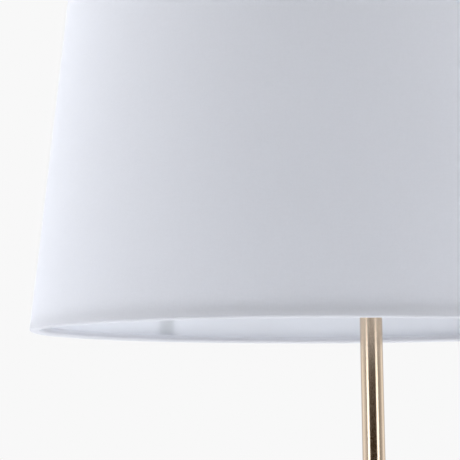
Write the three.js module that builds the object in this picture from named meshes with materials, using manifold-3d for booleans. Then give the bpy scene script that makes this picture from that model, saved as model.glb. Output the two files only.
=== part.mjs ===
// Floor lamp with a crook top. The pole rises through the shade, bends over above it,
// and comes down to the lampholder that carries the shade.
// Millimetres, +Z up. The origin is on the floor, on the pole's axis. The crook points to -Y.

import * as THREE from 'three';
import { mergeVertices } from 'three/addons/utils/BufferGeometryUtils.js';
import Module from 'manifold-3d';

const wasm = await Module();
wasm.setup();

// Driving dimensions

const GAP = 0.3; // clearance between pieces that touch

// Sides of a round piece, by its size
const SHADE_SIDES = 48;
const BASE_SIDES = 40;
const POLE_SIDES = 20;
const SMALL_SIDES = 12;

const POLE_R = 9;
const POLE_WALL = 1.2;
const SECTION_LENGTH = 450;
const SECTION_NAMES = ['lower', 'middle', 'upper'];
const BEND_R = 45; // crook centre line
const SHORT_LEG = 23; // straight end of the crook, above the lampholder

const RIM_HEIGHT = 1130; // shade's lower edge above the floor
const SHADE_HEIGHT = 300;
const SHADE_BOTTOM_R = 205;
const SHADE_TOP_R = 180;
const FABRIC = 0.8;
const LINING = 0.8;
const WIRE_R = 2;
const FITTER_DROP = 20; // fitter below the shade's upper edge
const FITTER_R = 28.2;
const SPOKE_R = 1.8;
const SPOKE_ANGLES = [30, 150, 270]; // the pole stands at 90, midway between two spokes
const SEAM_ANGLE = 160;
const SEAM_WIDTH = 15;
const SEAM_THICKNESS = 0.6;

const BASE_R = 140;
const BASE_WALL = 1.5;
const BASE_EDGE_HEIGHT = 20;
const BASE_CENTRE_HEIGHT = 24;
const PAD_THICKNESS = 2;
const COLLAR_R = 22.5;
const COLLAR_HEIGHT = 26;
const CHANNEL_WIDTH = 9; // groove for the lead under the weight
const CHANNEL_TOP = 10;
const POCKET_R = 17; // room for the nut under the weight
const NUT_BOTTOM = 4.2;
const NUT_TOP = 8.2;
const TAG_TOP = 9.3;
const WASHER_TOP = 11;

const STUD_R = 4.9; // M10 lamp thread
const STUD_BORE_R = 3.5;
const THREAD_HOLE_R = STUD_R + GAP;

// Places worked out from them

const POLE_BORE_R = POLE_R - POLE_WALL;
const WEIGHT_BOTTOM = PAD_THICKNESS + GAP;
const COLLAR_BOTTOM = BASE_CENTRE_HEIGHT + GAP;
const POLE_FOOT = COLLAR_BOTTOM + 6;
const CROOK_FOOT = POLE_FOOT + SECTION_NAMES.length * SECTION_LENGTH;
const SHADE_AXIS_Y = -2 * BEND_R;
const SHADE_TOP = RIM_HEIGHT + SHADE_HEIGHT;
const FITTER_HEIGHT = SHADE_TOP - FITTER_DROP;
const CROOK_END = 42; // crook's end above the fitter
const LONG_LEG = FITTER_HEIGHT + CROOK_END + SHORT_LEG - CROOK_FOOT;

// Finishes

const finish = (color, roughness, metalness) =>
  new THREE.MeshStandardMaterial({ color, roughness, metalness });
const brass = () => finish(0xa8957a, 0.32, 1);
const brightBrass = () => finish(0xc9a763, 0.35, 1);
const steel = () => finish(0xb4b6b8, 0.4, 1);
const castIron = () => finish(0x3a3b3d, 0.75, 0.6);
const whiteWire = () => finish(0xeceded, 0.45, 0.1);
const fabric = () => finish(0xe6e9f0, 0.9, 0);
const lining = () => finish(0xdfe6ec, 0.55, 0);
const blackPlastic = () => finish(0x1c1c1e, 0.5, 0);
const porcelain = () => finish(0xf1efe8, 0.3, 0);
const glass = () => finish(0xf6f4ee, 0.15, 0);
const rubber = () => finish(0x2b2b2c, 0.95, 0);

// Solids

// Welds a geometry, drops its triangles of no area and points its faces outwards.
function closed(geometry) {
  const bare = geometry.clone();
  bare.deleteAttribute('normal');
  bare.deleteAttribute('uv');
  const welded = mergeVertices(bare, 1e-4);
  const corner = [new THREE.Vector3(), new THREE.Vector3(), new THREE.Vector3()];
  const kept = [];
  let volume = 0;
  for (let start = 0; start < welded.index.count; start += 3) {
    const ids = [0, 1, 2].map((k) => welded.index.getX(start + k));
    if (new Set(ids).size < 3) continue;
    ids.forEach((id, k) => corner[k].fromBufferAttribute(welded.attributes.position, id));
    volume += corner[0].dot(corner[1].cross(corner[2]));
    kept.push(...ids);
  }
  if (volume < 0) kept.reverse();
  welded.setIndex(kept);
  welded.computeVertexNormals();
  return welded;
}

function toManifold(geometry) {
  const vertProperties = new Float32Array(geometry.attributes.position.array);
  const triVerts = new Uint32Array(geometry.index.array);
  return new wasm.Manifold(new wasm.Mesh({ numProp: 3, vertProperties, triVerts }));
}

function fromManifold(manifold) {
  const { vertProperties, triVerts } = manifold.getMesh();
  const geometry = new THREE.BufferGeometry();
  geometry.setAttribute('position', new THREE.BufferAttribute(vertProperties, 3));
  geometry.setIndex(new THREE.BufferAttribute(triVerts, 1));
  geometry.computeVertexNormals();
  return geometry;
}

function cut(geometry, ...tools) {
  const start = toManifold(geometry);
  return fromManifold(tools.reduce((solid, tool) => solid.subtract(toManifold(tool)), start));
}

function join(geometry, ...others) {
  const start = toManifold(geometry);
  return fromManifold(others.reduce((solid, other) => solid.add(toManifold(other)), start));
}

// Revolves a profile of [radius, height] points about Z.
function turned(profile, sides = POLE_SIDES) {
  const points = profile.map(([r, z]) => new THREE.Vector2(r, z));
  const endsOnAxis = profile[0][0] === 0 && profile.at(-1)[0] === 0;
  if (!endsOnAxis) points.push(points[0].clone());
  return closed(new THREE.LatheGeometry(points, sides).rotateX(Math.PI / 2));
}

function tube(outerR, boreR, bottom, top, sides) {
  return turned([[boreR, bottom], [outerR, bottom], [outerR, top], [boreR, top]], sides);
}

function rod(radius, bottom, top, sides) {
  return turned([[0, bottom], [radius, bottom], [radius, top], [0, top]], sides);
}

function box(x, y, z) {
  const size = [x[1] - x[0], y[1] - y[0], z[1] - z[0]];
  const centre = [(x[0] + x[1]) / 2, (y[0] + y[1]) / 2, (z[0] + z[1]) / 2];
  return closed(new THREE.BoxGeometry(...size).translate(...centre));
}

function torus(radius, wireR, height, sides) {
  return closed(new THREE.TorusGeometry(radius, wireR, 6, sides).translate(0, 0, height));
}

// Points of an arc in the [radius, height] plane, between two angles in degrees.
function arc(centreR, centreZ, radius, from, to, steps) {
  return Array.from({ length: steps + 1 }, (_, i) => {
    const angle = THREE.MathUtils.degToRad(from + ((to - from) * i) / steps);
    return [centreR + radius * Math.cos(angle), centreZ + radius * Math.sin(angle)];
  });
}

// Closed profile of a sheet of even thickness around its middle line.
function sheet(middle, thickness) {
  const points = middle.map(([r, z]) => new THREE.Vector2(r, z));
  const sides = [[], []];
  points.forEach((point, i) => {
    const before = points[Math.max(i - 1, 0)];
    const after = points[Math.min(i + 1, points.length - 1)];
    const along = after.clone().sub(before).normalize();
    const across = new THREE.Vector2(-along.y, along.x).multiplyScalar(thickness / 2);
    sides[0].push(point.clone().add(across));
    sides[1].unshift(point.clone().sub(across));
  });
  return sides.flat().map((point) => [Math.max(point.x, 0), point.y]);
}

function circle(radius) {
  return new THREE.Shape().absarc(0, 0, radius, 0, 2 * Math.PI);
}

function extruded(shape, bottom, top, curveSegments = 12) {
  const settings = { depth: top - bottom, bevelEnabled: false, curveSegments };
  return closed(new THREE.ExtrudeGeometry(shape, settings).translate(0, 0, bottom));
}

function swept(shape, extrudePath, steps, sides) {
  return closed(new THREE.ExtrudeGeometry(shape, { steps, extrudePath, curveSegments: sides / 2 }));
}

// Outline with evenly spaced flutes, as on a knob or a ring nut.
function fluted(radius, depth, flutes) {
  const count = flutes * 4;
  const points = Array.from({ length: count }, (_, i) => {
    const angle = (2 * Math.PI * i) / count;
    const r = radius - (depth / 2) * (1 - Math.cos(flutes * angle));
    return new THREE.Vector2(r * Math.cos(angle), r * Math.sin(angle));
  });
  return new THREE.Shape(points);
}

function hexNut(acrossFlats, boreR, bottom, top) {
  const cornerR = acrossFlats / Math.sqrt(3);
  const corners = Array.from({ length: 6 }, (_, i) => {
    const angle = (Math.PI * i) / 3;
    return new THREE.Vector2(cornerR * Math.cos(angle), cornerR * Math.sin(angle));
  });
  const shape = new THREE.Shape(corners);
  shape.holes.push(new THREE.Path().absarc(0, 0, boreR, 0, 2 * Math.PI));
  return extruded(shape, bottom, top);
}

// Turns a solid made along Z so that it lies along +X or +Y.
const alongX = (geometry) => geometry.rotateY(Math.PI / 2);
const alongY = (geometry) => geometry.rotateX(-Math.PI / 2);

// Scene graph

const lamp = new THREE.Group();
const holder = new THREE.Group();
const shade = new THREE.Group();
const crook = new THREE.Group();
holder.position.set(0, SHADE_AXIS_Y, FITTER_HEIGHT);
shade.position.set(0, SHADE_AXIS_Y, RIM_HEIGHT);
crook.position.set(0, 0, CROOK_FOOT + GAP / 2);
lamp.add(holder, shade, crook);

function add(group, name, geometry, material) {
  const mesh = new THREE.Mesh(geometry, material);
  mesh.name = name;
  group.add(mesh);
}

// Base

const GLAND_Z = 9.5;
const GLAND_R = 4;
const GLAND_BORE_R = 3.1;
const GLAND_LENGTH = 13; // inside the base
const LAND_R = 32; // flat middle of the base
const SHOULDER_R = 5; // rounded top edge of the base

function baseCover() {
  const wallR = BASE_R - BASE_WALL / 2;
  const edgeTop = BASE_EDGE_HEIGHT - BASE_WALL / 2;
  const centreTop = BASE_CENTRE_HEIGHT - BASE_WALL / 2;
  const shoulder = arc(wallR - SHOULDER_R, edgeTop - SHOULDER_R, SHOULDER_R, 0, 80, 3);
  const middle = [[wallR, 1], ...shoulder, [LAND_R, centreTop], [THREAD_HOLE_R, centreTop]];
  const shell = turned(sheet(middle, BASE_WALL), BASE_SIDES);
  const drill = rod(GLAND_R + GAP, BASE_R - GLAND_LENGTH, BASE_R + GLAND_LENGTH, SMALL_SIDES);
  return cut(shell, alongY(drill).translate(0, 0, GLAND_Z));
}

function baseWeight() {
  const outerR = BASE_R - 5;
  const edgeTop = BASE_EDGE_HEIGHT - BASE_WALL - 4;
  const top = BASE_CENTRE_HEIGHT - BASE_WALL - GAP;
  const pocketTop = WASHER_TOP + GAP;
  const profile = [
    [THREAD_HOLE_R, pocketTop], [POCKET_R, pocketTop],
    [POCKET_R, WEIGHT_BOTTOM], [outerR - 3, WEIGHT_BOTTOM],
    [outerR, WEIGHT_BOTTOM + 3], [outerR, edgeTop], [outerR - 6, BASE_EDGE_HEIGHT - BASE_WALL - 1],
    [LAND_R, top], [THREAD_HOLE_R, top],
  ];
  const half = CHANNEL_WIDTH / 2;
  const channel = box([-half, half], [10, BASE_R], [0, CHANNEL_TOP]);
  const glandPocket = box([-CHANNEL_WIDTH, CHANNEL_WIDTH], [BASE_R - 22, BASE_R], [0, 30]);
  return cut(turned(profile, BASE_SIDES), channel, glandPocket);
}

function cordGland() {
  const bodyEnd = BASE_R - GLAND_LENGTH;
  const flange = BASE_R + GAP;
  const mouth = flange + 3.4;
  const profile = [
    [GLAND_BORE_R, bodyEnd], [GLAND_R, bodyEnd], [GLAND_R, flange], [7, flange],
    [6.4, flange + 2], [4.6, mouth], [GLAND_BORE_R, mouth],
  ];
  return alongY(turned(profile, SMALL_SIDES)).translate(0, 0, GLAND_Z);
}

function glandNut() {
  const face = BASE_R - BASE_WALL - 1;
  return alongY(hexNut(10.5, GLAND_R + GAP, face - 4, face)).translate(0, 0, GLAND_Z);
}

function earthTag() {
  const bottom = NUT_TOP + GAP;
  const ring = tube(8.5, THREAD_HOLE_R, bottom, TAG_TOP, SMALL_SIDES);
  return join(ring, box([-16, -8], [-2.2, 2.2], [bottom, TAG_TOP]));
}

function footCollar() {
  const top = COLLAR_BOTTOM + COLLAR_HEIGHT;
  const seat = POLE_FOOT - GAP;
  const socketR = POLE_R + GAP;
  const waist = arc(22, top - 4, 10, 260, 186, 4);
  const rimR = COLLAR_R - 1.5;
  const neckR = 12.4;
  const profile = [
    [THREAD_HOLE_R, COLLAR_BOTTOM], [rimR, COLLAR_BOTTOM], [COLLAR_R, COLLAR_BOTTOM + 1.5],
    [COLLAR_R, COLLAR_BOTTOM + 4], [rimR, COLLAR_BOTTOM + 5.5], ...waist,
    [neckR, top - 3], [neckR, top - 0.8], [neckR - 0.8, top],
    [socketR, top], [socketR, seat], [THREAD_HOLE_R, seat],
  ];
  return turned(profile);
}

add(lamp, 'base_pad', rod(BASE_R - 6, 0, PAD_THICKNESS, BASE_SIDES), rubber());
add(lamp, 'base_weight', baseWeight(), castIron());
add(lamp, 'base_cover', baseCover(), brass());
add(lamp, 'cord_gland', cordGland(), blackPlastic());
add(lamp, 'gland_nut', glandNut(), blackPlastic());
add(lamp, 'foot_nut', hexNut(17, THREAD_HOLE_R, NUT_BOTTOM, NUT_TOP), steel());
add(lamp, 'earth_tag', earthTag(), brightBrass());
add(lamp, 'foot_washer', tube(14, THREAD_HOLE_R, TAG_TOP + GAP, WASHER_TOP), steel());
add(lamp, 'foot_stud', tube(STUD_R, STUD_BORE_R, NUT_BOTTOM - 1, POLE_FOOT + 24, SMALL_SIDES), steel());
add(lamp, 'foot_collar', footCollar(), brass());

// Pole

const INSERT_LENGTH = 18;
const JOINT_STUD_LENGTH = 34;

function threadedInsert(bottom) {
  return tube(POLE_BORE_R - GAP, THREAD_HOLE_R, bottom, bottom + INSERT_LENGTH, SMALL_SIDES);
}

SECTION_NAMES.forEach((name, i) => {
  const foot = POLE_FOOT + i * SECTION_LENGTH + GAP / 2;
  const head = foot + SECTION_LENGTH - GAP;
  add(lamp, `pole_${name}`, tube(POLE_R, POLE_BORE_R, foot, head), brass());
  add(lamp, `pole_${name}_foot_insert`, threadedInsert(foot + GAP), steel());
  add(lamp, `pole_${name}_head_insert`, threadedInsert(head - GAP - INSERT_LENGTH), steel());
  const studBottom = head - JOINT_STUD_LENGTH / 2;
  const stud = tube(STUD_R, STUD_BORE_R, studBottom, studBottom + JOINT_STUD_LENGTH, SMALL_SIDES);
  add(lamp, `joint_stud_${name}`, stud, steel());
});

// Crook

// Centre line: up the long leg, over a half circle, down the short leg.
class CrookLine extends THREE.Curve {
  getPoint(t, target = new THREE.Vector3()) {
    const bend = Math.PI * BEND_R;
    const travelled = t * (LONG_LEG + bend + SHORT_LEG);
    const past = travelled - LONG_LEG;
    if (past < 0) return target.set(0, 0, travelled);
    if (past > bend) return target.set(0, SHADE_AXIS_Y, LONG_LEG - (past - bend));
    const angle = past / BEND_R;
    return target.set(0, BEND_R * (Math.cos(angle) - 1), LONG_LEG + BEND_R * Math.sin(angle));
  }
}

function crookTube() {
  const ring = circle(POLE_R);
  ring.holes.push(new THREE.Path().absarc(0, 0, POLE_BORE_R, 0, 2 * Math.PI));
  return swept(ring, new CrookLine(), 26, SMALL_SIDES);
}

add(crook, 'crook_tube', crookTube(), brass());
add(crook, 'crook_foot_insert', threadedInsert(GAP), steel());
add(holder, 'crook_end_insert', threadedInsert(CROOK_END + GAP), steel());

// Lampholder: it hangs mouth down, and its group's height 0 is where the fitter sits

const CUP_R = 23.2;
const CUP_WALL = 1.2;
const CUP_SHOULDER_R = 9;
const CUP_TOP = 35.5;
const SKIRT_R = 19.7; // outside thread
const SKIRT_BORE_R = 16.3;
const SKIRT_TOP = 14;
const SKIRT_END = -34;
const FLANGE_BOTTOM = 2;
const FLANGE_TOP = 4.5;
const BLOCK_BOTTOM = 15.9;
const BLOCK_TOP = 30;
const SWITCH_Z = 19.5;
const SPINDLE_R = 2.2;
const BUSH_R = 4.2;
const RING_NUT_R = 27.5;
const RING_NUT_HEIGHT = 7;
const FLUTES = 12;
const KNOB_R = 8;
const KNOB_START = 28.5;
const KNOB_END = 45;

function holderCollar() {
  const bottom = CUP_TOP + GAP;
  const seat = CROOK_END - GAP;
  const socketR = POLE_R + GAP;
  const top = bottom + 13.2;
  const outerR = 12.6;
  const edge = 1.2;
  const profile = [
    [THREAD_HOLE_R, bottom], [outerR - edge, bottom], [outerR, bottom + edge], [outerR, top - edge],
    [outerR - edge, top], [socketR, top], [socketR, seat], [THREAD_HOLE_R, seat],
  ];
  return turned(profile);
}

function holderCup() {
  const wallR = CUP_R - CUP_WALL / 2;
  const top = CUP_TOP - CUP_WALL / 2;
  const shoulder = arc(wallR - CUP_SHOULDER_R, top - CUP_SHOULDER_R, CUP_SHOULDER_R, 0, 90, 4);
  const middle = [[wallR, FLANGE_TOP + GAP], ...shoulder, [THREAD_HOLE_R, top]];
  const bushHole = alongX(rod(BUSH_R + GAP, 15, 30, SMALL_SIDES)).translate(0, 0, SWITCH_Z);
  return cut(turned(sheet(middle, CUP_WALL)), bushHole);
}

function holderSkirt() {
  const flangeR = CUP_R + 1;
  const insideCupR = CUP_R - CUP_WALL - GAP;
  const profile = [
    [SKIRT_BORE_R, SKIRT_END], [SKIRT_R - 1, SKIRT_END], [SKIRT_R, SKIRT_END + 2],
    [SKIRT_R, FLANGE_BOTTOM], [flangeR, FLANGE_BOTTOM], [flangeR, FLANGE_TOP],
    [insideCupR, FLANGE_TOP], [insideCupR, SKIRT_TOP], [SKIRT_BORE_R, SKIRT_TOP],
  ];
  return turned(profile);
}

function contactBlock() {
  const block = tube(15.5, 3, BLOCK_BOTTOM, BLOCK_TOP);
  const spindleHole = alongX(rod(SPINDLE_R + GAP, 10, 20, SMALL_SIDES)).translate(0, 0, SWITCH_Z);
  const terminal = rod(2.4, BLOCK_TOP - 5, BLOCK_TOP + 1, SMALL_SIDES);
  const terminals = [-6, 6].map((y) => terminal.clone().translate(-7, y, 0));
  return cut(block, spindleHole, ...terminals);
}

function screwShell() {
  const top = BLOCK_BOTTOM - GAP;
  const wall = 0.7;
  const [outerR, mouthR, end] = [14.3, 8.5, -24];
  const profile = [
    [outerR, end], [outerR, top], [mouthR, top],
    [mouthR, top - wall], [outerR - wall, top - wall], [outerR - wall, end],
  ];
  return turned(profile);
}

// Springy tongue that presses on the bulb's tip.
function centreContact() {
  const outline = [
    [-6, 14.4], [-6, 15.2], [4, 15.2], [4.4, 14.6], [-1.2, 9],
    [2.4, 9], [2.4, 8.4], [-2.6, 8.4], [3, 14.4],
  ];
  const tongue = new THREE.Shape(outline.map(([x, z]) => new THREE.Vector2(x, z)));
  const half = 2.5;
  return extruded(tongue, -half, half).rotateX(Math.PI / 2);
}

function ringNut() {
  const shape = fluted(RING_NUT_R, 1.4, FLUTES);
  shape.holes.push(new THREE.Path().absarc(0, 0, SKIRT_R + GAP, 0, 2 * Math.PI));
  return extruded(shape, -RING_NUT_HEIGHT, -2 * GAP);
}

function switchBush() {
  const bush = tube(BUSH_R, SPINDLE_R + GAP, 16.2, 28, SMALL_SIDES);
  return alongX(bush).translate(0, 0, SWITCH_Z);
}

function switchNut() {
  return alongX(hexNut(11, BUSH_R + GAP, 24, 26.5)).translate(0, 0, SWITCH_Z);
}

function switchSpindle() {
  return alongX(rod(SPINDLE_R, 12, KNOB_START + 9.5, SMALL_SIDES)).translate(0, 0, SWITCH_Z);
}

function holderNipple() {
  return tube(STUD_R, STUD_BORE_R, BLOCK_TOP + 2 * GAP, CROOK_END + 17, SMALL_SIDES);
}

function holderNut() {
  return hexNut(14, THREAD_HOLE_R, BLOCK_TOP + 1, CUP_TOP - CUP_WALL - GAP);
}

function switchKnob() {
  const grip = extruded(fluted(KNOB_R, 1, FLUTES), KNOB_START, KNOB_END);
  const seat = rod(SPINDLE_R + GAP, KNOB_START - 1, KNOB_START + 10, SMALL_SIDES);
  return alongX(cut(grip, seat)).translate(0, 0, SWITCH_Z);
}

add(holder, 'holder_collar', holderCollar(), brass());
add(holder, 'holder_nipple', holderNipple(), steel());
add(holder, 'holder_nut', holderNut(), steel());
add(holder, 'holder_cup', holderCup(), brass());
add(holder, 'holder_skirt', holderSkirt(), blackPlastic());
add(holder, 'contact_block', contactBlock(), porcelain());
add(holder, 'screw_shell', screwShell(), brightBrass());
add(holder, 'centre_contact', centreContact(), brightBrass());
add(holder, 'shade_ring_nut', ringNut(), blackPlastic());
add(holder, 'switch_bush', switchBush(), brightBrass());
add(holder, 'switch_nut', switchNut(), brightBrass());
add(holder, 'switch_spindle', switchSpindle(), steel());
add(holder, 'switch_knob', switchKnob(), blackPlastic());

// Bulb: a pear-shaped opal lamp, cap up

const GLOBE_R = 30;
const GLOBE_CENTRE = -75;
const CAP_R = 13.2;
const CAP_WALL = 1.1;
const CAP_BOTTOM = -23;

function bulbGlass() {
  const globe = arc(0, GLOBE_CENTRE, GLOBE_R - 0.5, -90, 32, 9);
  const neck = [[20.5, -46], [15, -37], [12.3, -29], [11.2, -22], [11, -8]];
  const profile = sheet([...globe, ...neck], 1);
  profile[profile.length - 1][0] = 0;
  profile[0][0] = 0;
  return turned(profile);
}

function bulbCap() {
  const profile = [
    [CAP_R, CAP_BOTTOM], [CAP_R, 0], [8.5, 3.4],
    [7.9, 2.8], [CAP_R - CAP_WALL, -0.8], [CAP_R - CAP_WALL, CAP_BOTTOM],
  ];
  return turned(profile);
}

add(holder, 'bulb_glass', bulbGlass(), glass());
add(holder, 'bulb_cap', bulbCap(), brightBrass());
const insulator = turned([[0, 2], [6.8, 2], [7.4, 4], [4.4, 6.2], [0, 6.2]]);
const tip = turned([[0, 6.5], [4, 6.5], [3.2, 7.5], [0, 7.8]], SMALL_SIDES);
add(holder, 'bulb_insulator', insulator, blackPlastic());
add(holder, 'bulb_tip', tip, steel());

// Shade: its group's height 0 is the lower edge

const RING_TO_EDGE = FABRIC + GAP + WIRE_R;
const WRAP_R = WIRE_R + GAP + FABRIC / 2; // the fabric's middle line round a wire
const CORNER_R = 2;

const shadeR = (z) => SHADE_BOTTOM_R + ((SHADE_TOP_R - SHADE_BOTTOM_R) * z) / SHADE_HEIGHT;
const liningOuterR = (z) => shadeR(z) - FABRIC - GAP;
const liningInnerR = (z) => liningOuterR(z) - LINING;
const bottomRingR = liningInnerR(RING_TO_EDGE) - GAP - WIRE_R;
const topRingR = liningInnerR(SHADE_HEIGHT - RING_TO_EDGE) - GAP - WIRE_R;
const topRingZ = SHADE_HEIGHT - RING_TO_EDGE;

// The fabric goes round both wires and is tucked in behind them.
function coverMiddleLine() {
  const half = FABRIC / 2;
  const lowCorner = [shadeR(0) - half - CORNER_R, half + CORNER_R];
  const highCorner = [shadeR(SHADE_HEIGHT) - half - CORNER_R, SHADE_HEIGHT - half - CORNER_R];
  return [
    ...arc(bottomRingR, RING_TO_EDGE, WRAP_R, 62, 270, 4),
    ...arc(...lowCorner, CORNER_R, 270, 360, 2),
    ...arc(...highCorner, CORNER_R, 0, 90, 2),
    ...arc(topRingR, topRingZ, WRAP_R, 90, 298, 4),
  ];
}

function shadeCover() {
  const skin = turned(sheet(coverMiddleLine(), FABRIC), SHADE_SIDES);
  const notches = SPOKE_ANGLES.map((angle) => {
    const notch = box([topRingR - 8, topRingR - 1], [-3.2, 3.2], [topRingZ - 6, topRingZ + 1.2]);
    return notch.rotateZ(THREE.MathUtils.degToRad(angle));
  });
  return cut(skin, ...notches);
}

function shadeLining() {
  const [low, high] = [FABRIC + CORNER_R, SHADE_HEIGHT - FABRIC - CORNER_R];
  const profile = [
    [liningInnerR(low), low], [liningOuterR(low), low],
    [liningOuterR(high), high], [liningInnerR(high), high],
  ];
  return turned(profile, SHADE_SIDES);
}

// Strip over the place where the lining's ends meet.
function liningSeam() {
  const [low, high] = [9, SHADE_HEIGHT - 9];
  const lift = 2 * GAP;
  const strip = new THREE.Shape([
    [liningInnerR(low) - lift, low], [liningInnerR(high) - lift, high],
    [liningInnerR(high) - lift - SEAM_THICKNESS, high], [liningInnerR(low) - lift - SEAM_THICKNESS, low],
  ].map(([r, z]) => new THREE.Vector2(r, z)));
  const half = SEAM_WIDTH / 2;
  return extruded(strip, -half, half).rotateX(Math.PI / 2).rotateZ(THREE.MathUtils.degToRad(SEAM_ANGLE));
}

function fitterSpoke(angle) {
  const hub = SHADE_HEIGHT - FITTER_DROP + 0.7;
  const end = topRingR - WIRE_R - GAP;
  const points = [
    [FITTER_R + 0.4, hub], [125, hub], [138, hub], [150, hub + 3.5],
    [end - 4, topRingZ - 2], [end, topRingZ],
  ];
  const path = new THREE.CatmullRomCurve3(points.map(([r, z]) => new THREE.Vector3(r, 0, z)));
  return swept(circle(SPOKE_R), path, 12, 8).rotateZ(THREE.MathUtils.degToRad(angle));
}

const fitterRing = tube(FITTER_R, SKIRT_R + 1.3, 0, 1.7).translate(0, 0, SHADE_HEIGHT - FITTER_DROP);
add(shade, 'shade_cover', shadeCover(), fabric());
add(shade, 'shade_lining', shadeLining(), lining());
add(shade, 'lining_seam', liningSeam(), lining());
add(shade, 'bottom_ring', torus(bottomRingR, WIRE_R, RING_TO_EDGE, SHADE_SIDES), whiteWire());
add(shade, 'top_ring', torus(topRingR, WIRE_R, topRingZ, SHADE_SIDES), whiteWire());
add(shade, 'fitter_ring', fitterRing, whiteWire());
SPOKE_ANGLES.forEach((angle, i) => {
  add(shade, `fitter_spoke_${i + 1}`, fitterSpoke(angle), whiteWire());
});

export default lamp;
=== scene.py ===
"""Looks for the crook-top floor lamp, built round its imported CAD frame. Metres, +Z up."""
import math

import bmesh
import bpy
from mathutils import Matrix, Vector, noise


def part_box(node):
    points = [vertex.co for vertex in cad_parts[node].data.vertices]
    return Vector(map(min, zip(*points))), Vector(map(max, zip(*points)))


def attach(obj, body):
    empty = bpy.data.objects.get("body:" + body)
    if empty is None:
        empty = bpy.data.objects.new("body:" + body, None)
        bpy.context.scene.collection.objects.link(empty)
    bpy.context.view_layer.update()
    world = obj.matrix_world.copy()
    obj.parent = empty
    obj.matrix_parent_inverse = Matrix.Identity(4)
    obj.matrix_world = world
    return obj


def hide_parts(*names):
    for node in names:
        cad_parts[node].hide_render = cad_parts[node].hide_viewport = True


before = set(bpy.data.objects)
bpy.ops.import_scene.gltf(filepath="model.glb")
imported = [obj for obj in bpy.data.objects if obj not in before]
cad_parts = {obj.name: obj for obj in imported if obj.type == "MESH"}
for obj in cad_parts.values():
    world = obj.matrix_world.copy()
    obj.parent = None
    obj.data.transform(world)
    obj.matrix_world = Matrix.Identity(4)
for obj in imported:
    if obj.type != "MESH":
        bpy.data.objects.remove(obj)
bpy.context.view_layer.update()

MM = 0.001
TAU = 2 * math.pi

# ---------------------------------------------------------------- places, read from the frame


def node_vertices(name):
    return [v.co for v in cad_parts[name].data.vertices]


def middle(name):
    low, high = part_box(name)
    return (Vector(low) + Vector(high)) / 2


def box_r(name):
    """Radius of a round upright node."""
    low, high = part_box(name)
    return (high[0] - low[0]) / 2


cover_low, cover_high = (Vector(corner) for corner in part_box("shade_cover"))
RIM_Z = cover_low.z
SHADE_TOP_Z = cover_high.z
SHADE_HEIGHT = SHADE_TOP_Z - RIM_Z
SHADE_X = (cover_low.x + cover_high.x) / 2
SHADE_Y = (cover_low.y + cover_high.y) / 2
RIM_R = (cover_high.x - cover_low.x) / 2
TOP_R = max(
    math.hypot(v.x - SHADE_X, v.y - SHADE_Y)
    for v in node_vertices("shade_cover") if v.z > SHADE_TOP_Z - 4 * MM
)
SHADE_AXIS = Vector((SHADE_X, SHADE_Y, 0))
POLE_R = box_r("pole_lower")
POLE_WALL = 1.2 * MM
WIRE_R = (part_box("bottom_ring")[1][2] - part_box("bottom_ring")[0][2]) / 2


def cone_r(height):
    """Outer radius of the shade at a height above its lower edge."""
    return RIM_R + (TOP_R - RIM_R) * height / SHADE_HEIGHT


# ---------------------------------------------------------------- mesh making


def mesh_object(name, mesh, smooth_angle=40):
    for polygon in mesh.polygons:
        polygon.use_smooth = True
    mesh.set_sharp_from_angle(angle=math.radians(smooth_angle))
    piece = bpy.data.objects.new(name, mesh)
    bpy.context.scene.collection.objects.link(piece)
    return piece


def revolve(name, profile, sides, centre=(0, 0, 0), shift=None, smooth_angle=40):
    """Turns a closed (radius, height) profile about Z. shift(r, z, angle) moves a point in (r, z)."""
    mesh = bmesh.new()
    on_axis = profile[0][0] == 0 and profile[-1][0] == 0
    rings = []
    for r, z in profile:
        if r == 0:
            rings.append([mesh.verts.new((centre[0], centre[1], centre[2] + z))])
            continue
        ring = []
        for i in range(sides):
            angle = TAU * i / sides
            dr, dz = shift(r, z, angle) if shift else (0, 0)
            x = centre[0] + (r + dr) * math.cos(angle)
            y = centre[1] + (r + dr) * math.sin(angle)
            ring.append(mesh.verts.new((x, y, centre[2] + z + dz)))
        rings.append(ring)
    pairs = list(zip(rings, rings[1:]))
    if not on_axis:
        pairs.append((rings[-1], rings[0]))
    for low, high in pairs:
        for i in range(sides):
            j = (i + 1) % sides
            corners = [low[i % len(low)], low[j % len(low)], high[j % len(high)], high[i % len(high)]]
            unique = list(dict.fromkeys(corners))
            if len(unique) > 2:
                mesh.faces.new(unique)
    return finish_mesh(name, mesh, smooth_angle)


def finish_mesh(name, mesh, smooth_angle=40):
    bmesh.ops.recalc_face_normals(mesh, faces=mesh.faces)
    if mesh.calc_volume(signed=True) < 0:
        bmesh.ops.reverse_faces(mesh, faces=mesh.faces)
    data = bpy.data.meshes.new(name)
    mesh.to_mesh(data)
    mesh.free()
    return mesh_object(name, data, smooth_angle)


def arc(centre_r, centre_z, radius, start, end, steps):
    points = []
    for i in range(steps + 1):
        angle = math.radians(start + (end - start) * i / steps)
        points.append((centre_r + radius * math.cos(angle), centre_z + radius * math.sin(angle)))
    return points


def sheet_profile(line, thickness):
    """Closed profile of an even sheet round its middle line."""
    left, right = [], []
    for i, (r, z) in enumerate(line):
        before = line[max(i - 1, 0)]
        after = line[min(i + 1, len(line) - 1)]
        along = Vector((after[0] - before[0], after[1] - before[1])).normalized()
        left.append((max(r - along.y * thickness / 2, 0), z + along.x * thickness / 2))
        right.insert(0, (max(r + along.y * thickness / 2, 0), z - along.x * thickness / 2))
    return left + right


def helix(pitch, depth, start, end, inner, outer):
    """A rounded screw thread for revolve, cut into what lies between two radii and two heights."""
    def shift(r, z, angle):
        if not (inner <= r <= outer and start < z < end):
            return 0, 0
        fade = min(1.0, (z - start) / pitch, (end - z) / pitch)
        return -depth * fade * (0.5 - 0.5 * math.cos(TAU * z / pitch - angle)), 0
    return shift


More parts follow.
